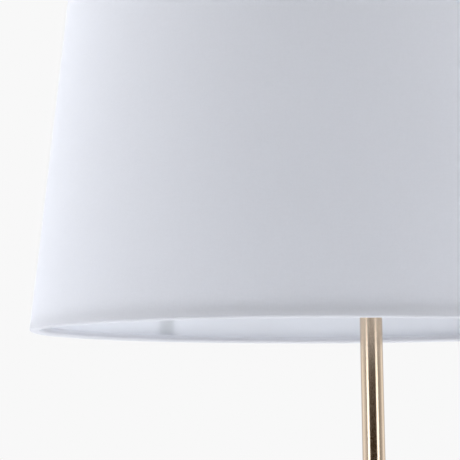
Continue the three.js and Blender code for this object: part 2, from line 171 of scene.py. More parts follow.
def lay(piece, axis, start):
    """Turns a piece made upright so that it lies along X or Y, then moves its foot to start."""
    turn = Matrix.Rotation(math.pi / 2, 4, "Y") if axis == "X" else Matrix.Rotation(-math.pi / 2, 4, "X")
    piece.data.transform(Matrix.Translation(start) @ turn)


def spline(points, steps):
    """Catmull-Rom points through the given ones."""
    full = [2 * points[0] - points[1], *points, 2 * points[-1] - points[-2]]
    path = []
    for a, b, c, d in zip(full, full[1:], full[2:], full[3:]):
        for i in range(steps):
            t = i / steps
            path.append((2 * b + (c - a) * t + (2 * a - 5 * b + 4 * c - d) * t * t
                         + (3 * b - a - 3 * c + d) * t ** 3) / 2)
    return [*path, points[-1].copy()]


def sweep(name, path, radius, sides, bore=0.0):
    """A round bar along a path in one upright plane, or a tube where bore is its inner radius."""
    mesh = bmesh.new()
    rings = {radius: [], bore: []}
    level = (path[-1] - path[0]).cross(Vector((0, 0, 1)))
    binormal = (level if level.length > 1e-6 else Vector((1, 0, 0))).normalized()
    for i, point in enumerate(path):
        along = (path[min(i + 1, len(path) - 1)] - path[max(i - 1, 0)]).normalized()
        normal = along.cross(binormal)
        for r, made in rings.items():
            if r > 0:
                angles = [TAU * j / sides for j in range(sides)]
                made.append([mesh.verts.new(point + r * (normal * math.cos(a) + binormal * math.sin(a)))
                             for a in angles])
    outside, inside = rings[radius], rings[bore]

    def band(low, high):
        for j in range(sides):
            k = (j + 1) % sides
            mesh.faces.new([low[j], low[k], high[k], high[j]])

    for made in (outside, inside):
        for low, high in zip(made, made[1:]):
            band(low, high)
    for end in (0, -1):
        if inside:
            band(outside[end], inside[end])
        else:
            mesh.faces.new(outside[end])
    return finish_mesh(name, mesh)


# ---------------------------------------------------------------- material making


class Nodes:
    """A node tree with short ways to add and join nodes."""

    def __init__(self, owner):
        """owner is a new material's name, or the world."""
        self.owner = bpy.data.materials.new(owner) if isinstance(owner, str) else owner
        self.owner.use_nodes = True
        self.tree = self.owner.node_tree
        self.tree.nodes.clear()
        kind = "Material" if isinstance(owner, str) else "World"
        self.output = self.add("ShaderNodeOutput" + kind)

    def add(self, kind, **settings):
        node = self.tree.nodes.new(kind)
        for key, value in settings.items():
            setattr(node, key, value)
        return node

    def put(self, socket, value):
        if isinstance(value, bpy.types.NodeSocket):
            self.tree.links.new(value, socket)
        else:
            socket.default_value = value

    def maths(self, operation, a, b=0.0):
        node = self.add("ShaderNodeMath", operation=operation)
        self.put(node.inputs[0], a)
        self.put(node.inputs[1], b)
        return node.outputs[0]

    def vector(self, x, y, z):
        node = self.add("ShaderNodeCombineXYZ")
        for socket, value in zip(node.inputs, (x, y, z)):
            self.put(socket, value)
        return node.outputs[0]

    def around(self, axis_x, axis_y):
        """Object position as (angle in radians, height, radius) round an upright axis."""
        split = self.add("ShaderNodeSeparateXYZ")
        self.put(split.inputs[0], self.place())
        x = self.maths("SUBTRACT", split.outputs[0], axis_x)
        y = self.maths("SUBTRACT", split.outputs[1], axis_y)
        squared = self.maths("ADD", self.maths("MULTIPLY", x, x), self.maths("MULTIPLY", y, y))
        return self.maths("ARCTAN2", y, x), split.outputs[2], self.maths("SQRT", squared)

    def place(self):
        return self.add("ShaderNodeTexCoord").outputs["Object"]

    def noise(self, vector, scale, detail=2.0, roughness=0.5):
        node = self.add("ShaderNodeTexNoise")
        self.put(node.inputs["Vector"], vector)
        node.inputs["Scale"].default_value = scale
        node.inputs["Detail"].default_value = detail
        node.inputs["Roughness"].default_value = roughness
        return node.outputs["Fac"]

    def ramp(self, factor, low, high, low_value, high_value):
        """A soft step from low_value, where factor is low, to high_value."""
        node = self.add("ShaderNodeMapRange")
        node.interpolation_type = "SMOOTHSTEP"
        self.put(node.inputs["Value"], factor)
        self.put(node.inputs["From Min"], low)
        self.put(node.inputs["From Max"], high)
        self.put(node.inputs["To Min"], low_value)
        self.put(node.inputs["To Max"], high_value)
        return node.outputs["Result"]

    def mix(self, factor, a, b):
        node = self.add("ShaderNodeMix", data_type="RGBA")
        self.put(node.inputs["Factor"], factor)
        self.put(node.inputs["A"], a)
        self.put(node.inputs["B"], b)
        return node.outputs["Result"]

    def bump(self, height, strength, distance):
        node = self.add("ShaderNodeBump")
        node.inputs["Strength"].default_value = strength
        node.inputs["Distance"].default_value = distance
        self.put(node.inputs["Height"], height)
        return node.outputs["Normal"]

    def principled(self, **values):
        node = self.add("ShaderNodeBsdfPrincipled")
        for name, value in values.items():
            self.put(node.inputs[name.replace("_", " ").title()], value)
        return node

    def done(self, shader):
        self.put(self.output.inputs["Surface"], shader)
        return self.owner


def rgba(r, g, b):
    return (r, g, b, 1.0)


# ---------------------------------------------------------------- materials

THREAD = 0.42 * MM  # from one thread of the weave to the next but one
SLUB_ACROSS = 1600  # per metre, how fine the slubs are across a thread
SLUB_ALONG = 90  # and along it
PAINTED_SHADE_COLOR = (0.36, 0.375, 0.43)  # painted shade on cloth and film: above the lower edge, in the tuck's crease, on the fold and along the lap
LAP_ANGLE = math.atan2(middle("lining_seam").y - SHADE_Y, middle("lining_seam").x - SHADE_X)


def woven(name, color, shade_color, through, translucent, lap, hem_shade=0.0, tuck_shade=0.0, fold_shade=0.0):
    """Plain weave in warp and weft, with slubs, that lets light through. color and shade_color are
    its threads and the gaps between them. The last four arguments set how strongly shade is painted
    into its colour: along the lap where its ends overlap, just above the lower edge, in the crease
    where it is tucked in over the lower wire, and on the fold under that wire."""
    n = Nodes(name)
    angle, height, radius = n.around(SHADE_X, SHADE_Y)
    across = n.maths("MULTIPLY", angle, RIM_R)
    warp = n.maths("SINE", n.maths("MULTIPLY", across, TAU / THREAD))
    weft = n.maths("SINE", n.maths("MULTIPLY", height, TAU / THREAD))
    weave = n.maths("MULTIPLY", warp, weft)

    def slub(fine_across, fine_up):
        place = n.vector(
            n.maths("MULTIPLY", across, fine_across), n.maths("MULTIPLY", height, fine_up), radius)
        return n.noise(place, 1.0, 2)

    slubs = n.maths("ADD", slub(SLUB_ACROSS, SLUB_ALONG), slub(SLUB_ALONG, SLUB_ACROSS))
    cloud = n.noise(n.place(), 9.0, 3)
    speckle = n.noise(n.place(), 900.0, 1)
    tone = n.maths("ADD", n.maths("MULTIPLY", slubs, 0.32), n.maths("MULTIPLY", weave, 0.10))
    tone = n.maths("ADD", tone, n.maths("MULTIPLY", cloud, 0.16))
    tone = n.maths("ADD", tone, n.maths("MULTIPLY", speckle, 0.6))
    paint = n.mix(n.ramp(tone, 0.4, 1.0, 0.0, 1.0), rgba(*shade_color), rgba(*color))
    rise = n.maths("SUBTRACT", height, RIM_Z)
    from_lap = n.maths("ABSOLUTE", n.maths("SUBTRACT", across, LAP_ANGLE * RIM_R))
    inward = n.ramp(radius, RIM_R - 3 * MM, RIM_R - 2 * MM, 1.0, 0.0)
    # Painted shade: a band from about 1 to 9 mm above the lower edge, for the wire behind the cloth that
    # blocks light.
    hem_shade_start = n.ramp(rise, 0.9 * MM, 1.8 * MM, 0.0, 1.0)
    # Painted shadow: the crease on the inner side, about 1 to 8 mm above the lower edge, where the
    # tucked-in cloth meets the film.
    tuck_shade_start = n.maths("MULTIPLY", inward, n.ramp(rise, 1 * MM, 3 * MM, 0.0, 1.0))
    # Each amount below mixes painted shade into the colour.
    darker = (
        n.maths("MULTIPLY", hem_shade_start, n.ramp(rise, 3 * MM, 9 * MM, hem_shade, 0.0)),
        n.maths("MULTIPLY", tuck_shade_start, n.ramp(rise, 6 * MM, 8 * MM, tuck_shade, 0.0)),
        # Painted shade on the lowest 2 mm, the underside of the fold under the lower wire.
        n.ramp(rise, 1 * MM, 2 * MM, fold_shade, 0.0),
        # Painted shade: a soft band along the lap, where the double layer lets less light through.
        n.ramp(from_lap, 2 * MM, 13 * MM, lap, 0.0),
    )
    for amount in darker:
        paint = n.mix(amount, paint, rgba(*PAINTED_SHADE_COLOR))
    relief = n.maths("ADD", n.maths("MULTIPLY", weave, 0.5), n.maths("MULTIPLY", slubs, 0.8))
    normal = n.bump(relief, 0.35, 0.12 * MM)
    front = n.principled(base_color=paint, roughness=n.ramp(slubs, 0.6, 1.4, 0.78, 0.92), normal=normal)
    front.inputs["Sheen Weight"].default_value = 0.12
    front.inputs["Sheen Roughness"].default_value = 0.5
    front.inputs["Specular IOR Level"].default_value = 0.25
    back = n.add("ShaderNodeBsdfTranslucent")
    n.put(back.inputs["Color"], rgba(*through))
    n.put(back.inputs["Normal"], normal)
    both = n.add("ShaderNodeMixShader")
    both.inputs[0].default_value = translucent
    n.put(both.inputs[1], front.outputs[0])
    n.put(both.inputs[2], back.outputs[0])
    return n.done(both.outputs[0])


def brass(name, grain_vector, spread=None):
    """Satin antique brass. grain_vector(n) gives the brushing's fine lines, and spread(n) the way
    across them; without it the lines run round an upright axis through the piece's middle."""
    n = Nodes(name)
    brushed = n.noise(grain_vector(n), 1.0, 3, 0.6)
    relief = n.bump(brushed, 0.2, 0.01 * MM)
    patina = n.noise(n.place(), 14.0, 4, 0.6)
    paint = n.mix(n.ramp(patina, 0.35, 0.7, 0.0, 1.0), rgba(0.66, 0.515, 0.37), rgba(0.71, 0.565, 0.42))
    rough = n.maths("ADD", n.ramp(brushed, 0.25, 0.75, 0.195, 0.225), n.ramp(patina, 0.3, 0.8, 0.0, 0.03))
    shader = n.principled(base_color=paint, metallic=1.0, roughness=rough, normal=relief)
    shader.inputs["Anisotropic"].default_value = 0.70
    if spread:
        tangent = spread(n)
    else:
        tangent = n.add("ShaderNodeTangent", direction_type="RADIAL", axis="Z").outputs[0]
        shader.inputs["Anisotropic Rotation"].default_value = 0.25
    n.put(shader.inputs["Tangent"], tangent)
    return n.done(shader.outputs[0])


BRUSHING = 5200  # per metre, how fine the brushed lines are


def rings_round(axis_x, axis_y, fine=BRUSHING):
    """Brushing that runs round an upright axis."""
    def vector(n):
        angle, height, radius = n.around(axis_x, axis_y)
        return n.vector(n.maths("MULTIPLY", angle, 1.2), n.maths("MULTIPLY", height, fine),
                        n.maths("MULTIPLY", radius, fine))
    return vector


def from_bend(n):
    """Object position as (x, y, height) from the middle of the crook's bend."""
    split = n.add("ShaderNodeSeparateXYZ")
    n.put(split.inputs[0], n.place())
    y = n.maths("SUBTRACT", split.outputs[1], SHADE_Y / 2)
    z = n.maths("SUBTRACT", split.outputs[2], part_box("crook_tube")[1][2] - POLE_R + SHADE_Y / 2)
    return split.outputs[0], y, z


def rings_on_bend(n):
    """Brushing that runs round the crook's tube: fine steps along it, none across it."""
    x, y, z = from_bend(n)
    bend_r = -SHADE_Y / 2
    turned = n.maths("ARCTAN2", n.maths("MAXIMUM", z, 0.0), n.maths("ABSOLUTE", y))
    along = n.maths("ADD", n.maths("MULTIPLY", turned, bend_r), n.maths("MINIMUM", z, 0.0))
    return n.vector(
        n.maths("MULTIPLY", along, BRUSHING), n.maths("MULTIPLY", x, 90), n.maths("MULTIPLY", y, 20))


def along_bend(n):
    """The way the crook's tube runs: upright in its legs, turning with the bend above them."""
    y, z = from_bend(n)[1:]
    return n.vector(0.0, n.maths("MULTIPLY", n.maths("MAXIMUM", z, 0.0), -1.0), y)


def plain(name, dark, light, roughness, metallic=0.0, scale=40.0, relief=0.1, depth=0.02 * MM):
    """One substance with a mottled colour, uneven gloss and a fine relief."""
    n = Nodes(name)
    coarse = n.noise(n.place(), scale, 4, 0.6)
    fine = n.noise(n.place(), scale * 30, 2, 0.6)
    paint = n.mix(n.ramp(coarse, 0.3, 0.7, 0.0, 1.0), rgba(*dark), rgba(*light))
    gloss = n.ramp(n.maths("ADD", coarse, fine), 0.6, 1.4, roughness * 0.85, min(1.0, roughness * 1.2))
    normal = n.bump(fine, relief, depth)
    shader = n.principled(base_color=paint, metallic=metallic, roughness=gloss, normal=normal)
    return n.done(shader.outputs[0])


# The cloth and both films get painted shade along the lap; the cloth also above its lower edge, in its
# tucked-in crease and on its fold.
CLOTH = woven("shade_cloth", (0.92, 0.93, 0.955), (0.86, 0.87, 0.895), (0.95, 0.95, 0.97), 0.52,
              lap=0.06, hem_shade=0.04, tuck_shade=0.5, fold_shade=0.25)
FILM = woven("lining_film", (0.955, 0.965, 0.98), (0.925, 0.94, 0.955), (0.955, 0.965, 0.985), 0.6,
             lap=0.06)
FILM_LAP = woven("lining_lap", (0.935, 0.95, 0.965), (0.905, 0.92, 0.94), (0.94, 0.955, 0.97), 0.55,
                 lap=0.06)
BRASS_POLE = brass("brass_pole", rings_round(0.0, 0.0))
BRASS_SPUN = brass("brass_spun", rings_round(0.0, 0.0, 2600))
BRASS_CUP = brass("brass_cup", rings_round(SHADE_X, SHADE_Y))
BRASS_BEND = brass("brass_bend", rings_on_bend, along_bend)
BRIGHT = plain("bright_brass", (0.72, 0.53, 0.25), (0.80, 0.61, 0.31), 0.28, 1.0, 60)
STEEL = plain("turned_steel", (0.52, 0.53, 0.54), (0.62, 0.63, 0.64), 0.32, 1.0, 50)
CAP_METAL = plain("cap_nickel", (0.66, 0.65, 0.62), (0.76, 0.75, 0.72), 0.27, 1.0, 70)
SOLDER = plain("solder", (0.42, 0.43, 0.44), (0.58, 0.59, 0.60), 0.5, 1.0, 300, 0.4, 0.1 * MM)
IRON = plain("cast_iron", (0.035, 0.036, 0.038), (0.06, 0.06, 0.062), 0.8, 0.3, 30, 0.5, 0.4 * MM)
PAD = plain("felt_pad", (0.030, 0.030, 0.031), (0.055, 0.055, 0.056), 0.95, 0.0, 45, 0.8, 0.5 * MM)
BLACK = plain("moulded_black", (0.012, 0.012, 0.013), (0.02, 0.02, 0.021), 0.38, 0.0, 60, 0.25, 0.05 * MM)
PORCELAIN = plain("porcelain", (0.80, 0.79, 0.75), (0.86, 0.85, 0.82), 0.18, 0.0, 40, 0.1, 0.05 * MM)
OPAL = plain("opal_glass", (0.86, 0.855, 0.83), (0.89, 0.885, 0.865), 0.12, 0.0, 20, 0.05, 0.02 * MM)
WHITE_WIRE = plain("white_powder_coat", (0.64, 0.65, 0.66), (0.70, 0.705, 0.71), 0.42, 0.0, 60, 0.3,
                   0.08 * MM)
GLASS_BLACK = plain("vitreous_black", (0.015, 0.015, 0.018), (0.03, 0.03, 0.034), 0.15, 0.0, 80)

# What the CAD nodes that no piece here replaces are made of.
CAD_FINISHES = {
    "base_weight": IRON, "gland_nut": BLACK, "foot_nut": STEEL, "earth_tag": BRIGHT, "foot_washer": STEEL,
    "foot_stud": STEEL, "crook_foot_insert": STEEL, "crook_end_insert": STEEL, "holder_nipple": STEEL,
    "holder_nut": STEEL, "contact_block": PORCELAIN, "centre_contact": BRIGHT,
    "bulb_insulator": GLASS_BLACK, "bulb_tip": SOLDER,
}
for section in ("lower", "middle", "upper"):
    for kind in ("pole_{}_foot_insert", "pole_{}_head_insert", "joint_stud_{}"):
        CAD_FINISHES[kind.format(section)] = STEEL
for name, material in CAD_FINISHES.items():
    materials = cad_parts[name].data.materials
    materials.clear()
    materials.append(material)


def piece_of(piece, body, nodes, material):
    """Ties a piece to its body, the CAD nodes it stands for and its material."""
    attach(piece, body)
    if nodes:
        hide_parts(*nodes)
    piece.data.materials.clear()
    piece.data.materials.append(material)
    return piece


# ---------------------------------------------------------------- camera

LENS = 74.35  # mm, on a sensor 36 mm wide
SENSOR = 36.0
AZIMUTH = 33.43  # degrees round to the right of the lamp's front
PITCH = 8.71  # degrees upwards
# From the middle of the shade's lower edge to the camera, in radii of that edge.
CAMERA_LEFT = 0.3122
CAMERA_BACK = 3.3794
CAMERA_DOWN = 0.1447


def make_camera():
    """Returns the level directions forward and to the right, as the camera sees them."""
    azimuth = math.radians(AZIMUTH)
    forward = Vector((-math.sin(azimuth), math.cos(azimuth), 0))
    right = Vector((math.cos(azimuth), math.sin(azimuth), 0))
    data = bpy.data.cameras.new("camera")
    data.sensor_width = SENSOR
    data.lens = LENS
    camera = bpy.data.objects.new("camera", data)
    bpy.context.scene.collection.objects.link(camera)
    camera.location = SHADE_AXIS + (-CAMERA_LEFT * right - CAMERA_BACK * forward) * RIM_R
    camera.location.z = RIM_Z - CAMERA_DOWN * RIM_R
    tilt = math.radians(PITCH)
    aim = forward * math.cos(tilt) + Vector((0, 0, math.sin(tilt)))
    camera.rotation_euler = aim.to_track_quat("-Z", "Y").to_euler()
    bpy.context.scene.camera = camera
    return forward, right


forward, right = make_camera()

# ---------------------------------------------------------------- shade

CLOTH_T = 0.6 * MM
FILM_T = 0.7 * MM
GAP = 0.3 * MM  # between pieces that touch, as in the CAD
SHADE_SIDES = 288
SHADE_FOOT = (SHADE_X, SHADE_Y, RIM_Z)
bottom_ring_r = box_r("bottom_ring") - WIRE_R
top_ring_r = box_r("top_ring") - WIRE_R
bottom_wire_z = middle("bottom_ring").z - RIM_Z
top_wire_z = middle("top_ring").z - RIM_Z


def cover_line():
    """The cloth's middle line: round the lower wire, up the cone and round the upper wire."""
    half = CLOTH_T / 2
    wrap = bottom_wire_z - half
    corner = 1.3 * MM
    low = (cone_r(0) - half - corner, half + corner)
    high = (cone_r(SHADE_HEIGHT) - half - corner, SHADE_HEIGHT - half - corner)
    top_wrap = SHADE_HEIGHT - half - top_wire_z
    rows = 24
    wall = [(cone_r(h) - half, h) for h in (i * SHADE_HEIGHT / rows for i in range(1, rows))]
    return [
        *arc(bottom_ring_r, bottom_wire_z, wrap, 55, 270, 16),
        *arc(*low, corner, 270, 358, 8),
        *wall,
        *arc(*high, corner, 2, 90, 8),
        *arc(top_ring_r, top_wire_z, top_wrap, 90, 305, 16),
    ]


def ripple(r, z, angle):
    """Slight unevenness of hand-stretched cloth."""
    where = Vector((math.cos(angle) * 6, math.sin(angle) * 6, z * 18))
    elsewhere = where + Vector((9, 4, 2))
    return noise.noise(where) * 0.18 * MM, noise.noise(elsewhere) * 0.12 * MM


def cone_strip(name, surface_r, low, high, width, thickness, sides=10, rows=40):
    """A thin strip up a cone at the lap's place. surface_r(height) is the radius that it lies on."""
    mesh = bmesh.new()
    grid = {}
    for i in range(rows + 1):
        h = low + (high - low) * i / rows
        for j in range(sides + 1):
            across = (j / sides - 0.5) * width
            lift = thickness * min(1.0, 3 * min(j, sides - j) / sides)
            for layer, offset in enumerate((0.02 * MM, 0.05 * MM + abs(lift))):
                r = surface_r(h) + math.copysign(offset, thickness)
                angle = LAP_ANGLE + across / r
                grid[i, j, layer] = mesh.verts.new(
                    (SHADE_X + r * math.cos(angle), SHADE_Y + r * math.sin(angle), RIM_Z + h))
    for i in range(rows):
        for j in range(sides):
            for layer in (0, 1):
                mesh.faces.new([grid[i, j, layer], grid[i, j + 1, layer],
                                grid[i + 1, j + 1, layer], grid[i + 1, j, layer]])
    for i in range(rows):
        for j in (0, sides):
            mesh.faces.new([grid[i, j, 0], grid[i + 1, j, 0], grid[i + 1, j, 1], grid[i, j, 1]])
    for j in range(sides):
        for i in (0, rows):
            mesh.faces.new([grid[i, j, 0], grid[i, j + 1, 0], grid[i, j + 1, 1], grid[i, j, 1]])
    return finish_mesh(name, mesh)


def make_cover():
    """The outer cloth, turned in over both wires."""
    cloth = revolve("shade_cloth", sheet_profile(cover_line(), CLOTH_T), SHADE_SIDES, SHADE_FOOT, ripple)
    return piece_of(cloth, "shade", ["shade_cover"], CLOTH)


def make_lining():
    """The stiff film inside the cloth, and the lap where its ends are glued."""
    def inside(h):
        return cone_r(h) - 2 * GAP - CLOTH_T - FILM_T

    edge, rows = 3.2 * MM, 12
    heights = [edge + i * (SHADE_HEIGHT - 2 * edge) / rows for i in range(rows + 1)]
    line = [(inside(h) + FILM_T / 2, h) for h in heights]
    film = revolve("shade_film", sheet_profile(line, FILM_T), SHADE_SIDES, SHADE_FOOT)
    piece_of(film, "shade", ["shade_lining"], FILM)
    start = bottom_wire_z + WIRE_R
    lap = cone_strip("film_lap", inside, start, SHADE_HEIGHT - start, 15 * MM, -0.25 * MM)
    piece_of(lap, "shade", ["lining_seam"], FILM_LAP)


def make_cloth_lap():
    """The folded edge where the cloth's ends overlap, outside the film's own lap."""
    lap = cone_strip("cloth_lap", cone_r, 1.6 * MM, SHADE_HEIGHT - 1.6 * MM, 11 * MM, 0.35 * MM)
    return piece_of(lap, "shade", [], CLOTH)


def make_ring(name, node, radius, height):
    """A shade wire, butt-welded where its ends meet."""
    def weld(r, z, angle):
        near = math.exp(-(((angle - LAP_ANGLE + math.pi) % TAU - math.pi) * radius / (2.2 * MM)) ** 2)
        return (r - radius) * 0.12 * near, (z - height) * 0.12 * near

    profile = arc(radius, height, WIRE_R, 0, 345, 23)
    ring = revolve(name, profile, SHADE_SIDES, SHADE_FOOT, weld)
    return piece_of(ring, "shade", [node], WHITE_WIRE)


def make_fitter():
    """The flat ring that hangs the shade on its holder."""
    low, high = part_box("fitter_ring")
    thick = high[2] - low[2]
    outer, inner = box_r("fitter_ring"), box_r("fitter_ring") - 7.2 * MM
    edge = 0.45 * MM
    profile = [
        *arc(outer - edge, edge, edge, -90, 0, 4), *arc(outer - edge, thick - edge, edge, 0, 90, 4),
        *arc(inner + edge, thick - edge, edge, 90, 180, 4), *arc(inner + edge, edge, edge, 180, 270, 4),
    ]
    ring = revolve("fitter_washer", profile, 120, (SHADE_X, SHADE_Y, low[2]))
    piece_of(ring, "shade", ["fitter_ring"], WHITE_WIRE)


def make_spoke(number, node):
    """From the fitter's ring out under it, up to the upper wire, with its end welded inside the wire."""
    centre = middle(node)
    angle = math.atan2(centre.y - SHADE_Y, centre.x - SHADE_X)
    wire = 1.8 * MM
    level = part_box("fitter_ring")[0][2] + 0.7 * MM
    start, end = box_r("fitter_ring") + 0.4 * MM, top_ring_r - WIRE_R - GAP
    end_z = RIM_Z + top_wire_z
    bends = [
        (start, level), (start + 10 * MM, level), (128 * MM, level), (143 * MM, level + 1.6 * MM),
        (158 * MM, level + 8.0 * MM), (end - 5 * MM, end_z - 3.4 * MM), (end, end_z),
    ]
    path = spline([Vector((r * math.cos(angle) + SHADE_X, r * math.sin(angle) + SHADE_Y, z))
                   for r, z in bends], 12)
    spoke = sweep(f"spoke_wire_{number}", path, wire, 20)
    return piece_of(spoke, "shade", [node], WHITE_WIRE)


# ---------------------------------------------------------------- pole, crook and base


def make_pole_section(name):
    """One of the pole's tubes. Extra rings next to its rounded ends keep its shading even."""
    low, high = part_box(name)
    edge = 0.35 * MM
    bore = POLE_R - POLE_WALL
    profile = [
        (bore, low[2]), *arc(POLE_R - edge, low[2] + edge, edge, -90, 0, 4), (POLE_R, low[2] + 3 * edge),
        (POLE_R, high[2] - 3 * edge), *arc(POLE_R - edge, high[2] - edge, edge, 0, 90, 4), (bore, high[2]),
    ]
    tube = revolve(name + "_tube", profile, 96)
    return piece_of(tube, "stand", [name], BRASS_POLE)


def make_crook():
    """The bent tube: a short leg up, a half circle and a longer leg down."""
    low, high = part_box("crook_tube")
    bend_r = -SHADE_Y / 2
    centre_z = high[2] - POLE_R - bend_r
    end_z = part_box("crook_end_insert")[0][2] - GAP
    path = [Vector((0, 0, low[2])), Vector((0, 0, low[2] + 2 * MM))]
    steps = 72
    for i in range(steps + 1):
        turn = math.pi * i / steps
        path.append(Vector((0, bend_r * (math.cos(turn) - 1), centre_z + bend_r * math.sin(turn))))
    path += [Vector((0, SHADE_Y, end_z + 2 * MM)), Vector((0, SHADE_Y, end_z))]
    crook = sweep("crook_bend", path, POLE_R, 64, POLE_R - POLE_WALL)
    return piece_of(crook, "stand", ["crook_tube"], BRASS_BEND)


def make_base_cover():
    """Spun cover: a rolled lip, an upright edge, a soft shoulder, a shallow dome and a flat middle."""
    low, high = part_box("base_cover")
    outer, wall = box_r("base_cover"), 1.5 * MM
    middle_r = outer - wall / 2
    top = high[2] - low[2] - wall / 2
    land, shoulder, edge_drop = 32 * MM, 6 * MM, 4 * MM
    shoulder_z = top - edge_drop - shoulder
    start = middle_r - shoulder
    steps = 24
    dome = []
    for i in range(1, steps):
        share = i / steps
        rise = edge_drop * (1 - (1 - share) ** 1.25)
        dome.append((start + (land - start) * share, min(shoulder_z + shoulder + rise, top)))
    line = [
        (middle_r - 0.25 * MM, wall / 2), (middle_r, wall), (middle_r, shoulder_z * 0.5),
        *arc(middle_r - shoulder, shoulder_z, shoulder, 0, 86, 14), *dome,
        (land - 2 * MM, top), (12 * MM, top), (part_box("foot_stud")[1][0] + GAP, top),
    ]
    cover = revolve("base_dome", sheet_profile(line, wall), 240, (0, 0, low[2]))
    return piece_of(cover, "stand", ["base_cover"], BRASS_SPUN)


def make_base_pad():
    """The soft pad under the base, with rounded edges."""
    r, top = box_r("base_pad"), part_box("base_pad")[1][2]
    edge = 0.8 * MM
    profile = [
        (0, 0), *arc(r - edge, edge, edge, -90, 0, 5),
        *arc(r - edge, top - edge, edge, 0, 90, 5), (0, top),
    ]
    pad = revolve("base_felt", profile, 160)
    return piece_of(pad, "stand", ["base_pad"], PAD)


def make_foot_collar():
    """Turned collar: a beaded foot, a hollow waist and a small bead under the pole's socket."""
    low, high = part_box("foot_collar")
    foot, top = box_r("foot_collar"), high[2] - low[2]
    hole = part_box("foot_stud")[1][0] + GAP
    socket = POLE_R + GAP
    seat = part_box("pole_lower")[0][2] - low[2] - 0.45 * MM
    bead = 1.7 * MM
    neck = 12.4 * MM
    profile = [
        (hole, 0), (foot - 1.5 * MM, 0), *arc(foot - bead, bead + 0.2 * MM, bead, -70, 88, 10),
        (foot - 2.4 * MM, 4.0 * MM), (foot - 2.8 * MM, 4.6 * MM),
        *arc(foot - 0.3 * MM, top - 4 * MM, 10 * MM, 254, 184, 14),
        *arc(neck - 1.1 * MM, top - 1.9 * MM, 1.1 * MM, -60, 70, 8),
        (socket + 1.4 * MM, top - 0.3 * MM), (socket + 0.9 * MM, top), (socket, top), (socket, seat),
        (hole, seat),
    ]
    collar = revolve("foot_boss", profile, 120, (0, 0, low[2]))
    return piece_of(collar, "stand", ["foot_collar"], BRASS_SPUN)


def make_gland():
    """Moulded strain bush with grip ribs round its collar."""
    low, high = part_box("cord_gland")
    length = high[1] - low[1]
    flange = length - 3.4 * MM
    centre = middle("cord_gland")

    count = 18

    def ribs(r, z, angle):
        on_rim = r > 6.2 * MM
        return (-0.25 * MM * (0.5 - 0.5 * math.cos(count * angle)) if on_rim else 0), 0

    profile = [
        (3.1 * MM, 0), (4.0 * MM, 0.2 * MM), (4.0 * MM, flange), (6.6 * MM, flange),
        (7.0 * MM, flange + 0.4 * MM), (6.9 * MM, flange + 1.2 * MM), (6.4 * MM, flange + 1.9 * MM),
        (5.3 * MM, flange + 2.6 * MM), *arc(4.4 * MM, length - 0.7 * MM, 0.7 * MM, 40, 90, 4),
        (3.5 * MM, length), (3.1 * MM, length - 0.4 * MM),
    ]
    gland = revolve("lead_bush", profile, 72, shift=ribs)
    lay(gland, "Y", (centre.x, low[1], centre.z))
    return piece_of(gland, "stand", ["cord_gland"], BLACK)


# ---------------------------------------------------------------- lampholder

HOLDER = Vector((SHADE_X, SHADE_Y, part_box("fitter_ring")[0][2]))  # middle of the fitter's underside


def make_holder_collar():
    """Turned collar with one groove, between the crook and the cup."""
    low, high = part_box("holder_collar")
    r, height = box_r("holder_collar"), high[2] - low[2]
    hole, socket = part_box("holder_nipple")[1][0] + GAP, POLE_R + GAP
    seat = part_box("crook_end_insert")[0][2] - low[2] - 2 * GAP
    groove = height / 2
    edge = 1.2 * MM
    profile = [
        (hole, 0), (r - edge, 0), *arc(r - edge, edge, edge, -80, 0, 6), (r, groove - 0.9 * MM),
        (r - 0.5 * MM, groove - 0.3 * MM), (r - 0.5 * MM, groove + 0.3 * MM), (r, groove + 0.9 * MM),
        *arc(r - edge, height - edge, edge, 0, 80, 6), (r - edge, height), (socket, height),
        (socket, seat), (hole, seat),
    ]
    collar = revolve("cup_collar", profile, 96, (HOLDER.x, HOLDER.y, low[2]))
    return piece_of(collar, "stand", ["holder_collar"], BRASS_CUP)


def make_holder_cup():
    """Spun cup with a bead rolled into its lower edge."""
    low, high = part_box("holder_cup")
    r, height, wall = box_r("holder_cup"), high[2] - low[2], 1.2 * MM
    line_r, top = r - wall / 2, height - wall / 2
    shoulder = 9 * MM
    bead = 0.7 * MM
    line = [
        (line_r, 0), (line_r, 1.6 * MM), (line_r - bead, 2.4 * MM), (line_r - bead, 3.0 * MM),
        (line_r, 3.8 * MM), (line_r, top - shoulder - 2 * MM),
        *arc(line_r - shoulder, top - shoulder, shoulder, 0, 90, 18),
        (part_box("holder_nipple")[1][0] + GAP, top),
    ]
    cup = revolve("cup_shell", sheet_profile(line, wall), 120, (HOLDER.x, HOLDER.y, low[2]))
    return piece_of(cup, "stand", ["holder_cup"], BRASS_CUP)


def make_holder_skirt():
    """Moulded skirt with the outside thread that the ring nut runs on."""
    low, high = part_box("holder_skirt")
    base = low[2]
    height = high[2] - base
    thread_r, flange_r, bore = 19.7 * MM, box_r("holder_skirt"), 16.3 * MM
    flange_z, flange_top = 36 * MM, 38.5 * MM
    cup_r, edge = 21.7 * MM, 0.5 * MM
    turns = [(thread_r, i * MM / 4) for i in range(8, 140)]
    profile = [
        (bore, 0), (thread_r - 1.2 * MM, 0), (thread_r - 0.6 * MM, 1 * MM), *turns, (thread_r, flange_z),
        (flange_r - 0.4 * MM, flange_z),
        *arc(flange_r - edge, flange_z + edge, edge, -60, 0, 3),
        *arc(flange_r - edge, flange_top - edge, edge, 0, 90, 4), (cup_r, flange_top),
        (cup_r, height), (bore, height),
    ]
    thread = helix(2.5 * MM, 0.7 * MM, 2 * MM, 34.5 * MM, thread_r - 0.01 * MM, thread_r + 0.01 * MM)
    skirt = revolve("holder_sleeve", profile, 96, (HOLDER.x, HOLDER.y, base), thread)
    return piece_of(skirt, "stand", ["holder_skirt"], BLACK)


